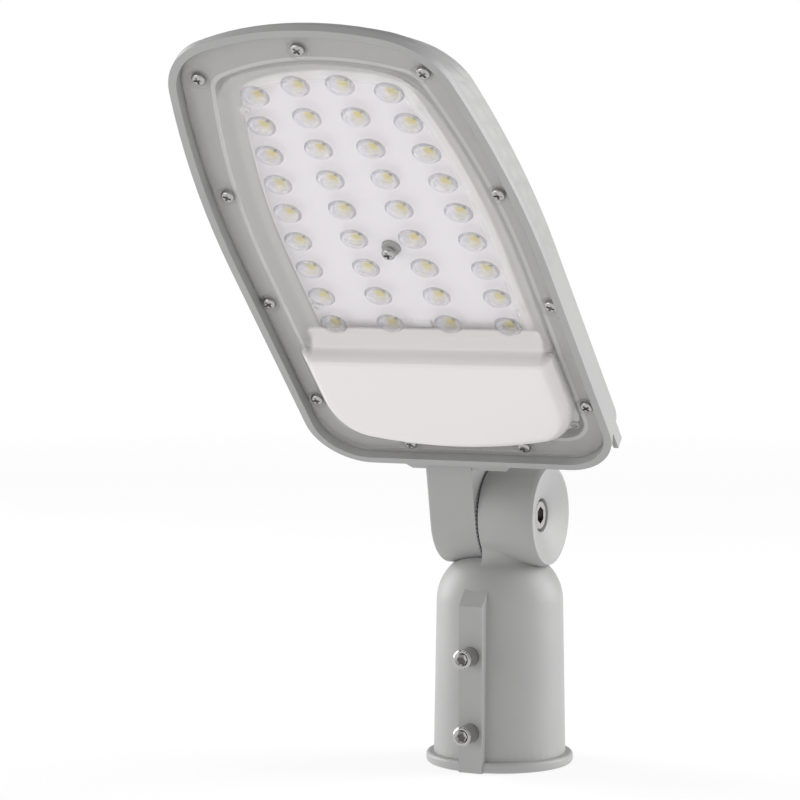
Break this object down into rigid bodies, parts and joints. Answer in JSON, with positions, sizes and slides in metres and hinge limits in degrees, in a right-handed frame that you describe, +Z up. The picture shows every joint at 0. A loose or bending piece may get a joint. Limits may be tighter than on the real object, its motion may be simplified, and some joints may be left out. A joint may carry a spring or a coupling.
{
  "type": "street lamp head",
  "caption": "Tilting LED street-lamp head: die-cast tray with a clear lens cover and driver bay, on a toothed tilt joint and a pole sleeve with clamping set screws.",
  "frame": {"origin": "centre of the pole sleeve's mouth, on the pole's axis", "axes": "+Z up along the pole's axis; +X along the tilt axis towards the bolt's head; the lamp leans towards -Y"},
  "size_m": [0.1688, 0.2884, 0.3732],
  "materials": {
    "cast_paint": "satin light-grey powder coat on die-cast aluminium",
    "clear_polycarbonate": "clear injection-moulded polycarbonate",
    "bright_steel": "bright stainless steel",
    "silicone_seal": "matt silicone",
    "black_rubber": "matt black rubber",
    "white_board": "white solder-masked aluminium board",
    "led_body": "white moulded package",
    "phosphor": "yellow silicone phosphor",
    "thermal_silicone": "soft grey thermal pad",
    "white_plastic": "white moulded plastic",
    "black_plastic": "black moulded nylon",
    "bare_aluminium": "folded bare aluminium",
    "green_board": "green solder mask",
    "dark_ferrite": "dark ferrite and tape",
    "wire_sleeve": "silicone-insulated wire",
    "blue_plastic": "blue epoxy coating"
  },
  "bodies": {
    "sleeve": {"pole_sleeve": "cast_paint", "sleeve_grommet": "black_rubber", "pivot_bolt": "bright_steel", "bolt_lock_washer": "bright_steel"},
    "set_screw_lower": {"set_screw_lower": "bright_steel"},
    "set_screw_upper": {"set_screw_upper": "bright_steel"},
    "head": {"housing": "cast_paint", "pivot_nut": "bright_steel", "lens_cover": "clear_polycarbonate", "cover_gasket": "silicone_seal", "cover_screws": "bright_steel", "centre_screw": "bright_steel", "led_board": "white_board", "thermal_pad": "thermal_silicone", "led_packages": "led_body", "led_phosphors": "phosphor", "board_screws": "bright_steel", "board_connector": "white_plastic", "led_leads": "wire_sleeve", "driver_case": "bare_aluminium", "driver_lid": "bare_aluminium", "driver_board": "green_board", "driver_transformer": "dark_ferrite", "driver_capacitors": "blue_plastic", "driver_screws": "bright_steel", "driver_cover": "white_plastic", "plate_screws": "bright_steel", "terminal_block": "white_plastic", "terminal_screws": "bright_steel", "supply_leads": "wire_sleeve", "surge_protector": "blue_plastic", "earth_screw": "bright_steel", "cable_clamp": "black_plastic", "clamp_screws": "bright_steel", "gland_body": "black_plastic", "gland_nut": "black_plastic", "gland_seal": "black_rubber", "gland_locknut": "black_plastic", "breather_vent": "black_plastic"}
  },
  "joints": [
    {"name": "head_tilt", "type": "hinge", "parent": "sleeve", "child": "head", "pos_m": [0, 0, 0.132], "axis": [1, 0, 0], "range_deg": [-45, 45]},
    {"name": "set_screw_lower_travel", "type": "slide", "parent": "sleeve", "child": "set_screw_lower", "axis": [0, 1, 0], "range_m": [0, 0.008]},
    {"name": "set_screw_upper_travel", "type": "slide", "parent": "sleeve", "child": "set_screw_upper", "axis": [0, 1, 0], "range_m": [0, 0.008]}
  ]
}
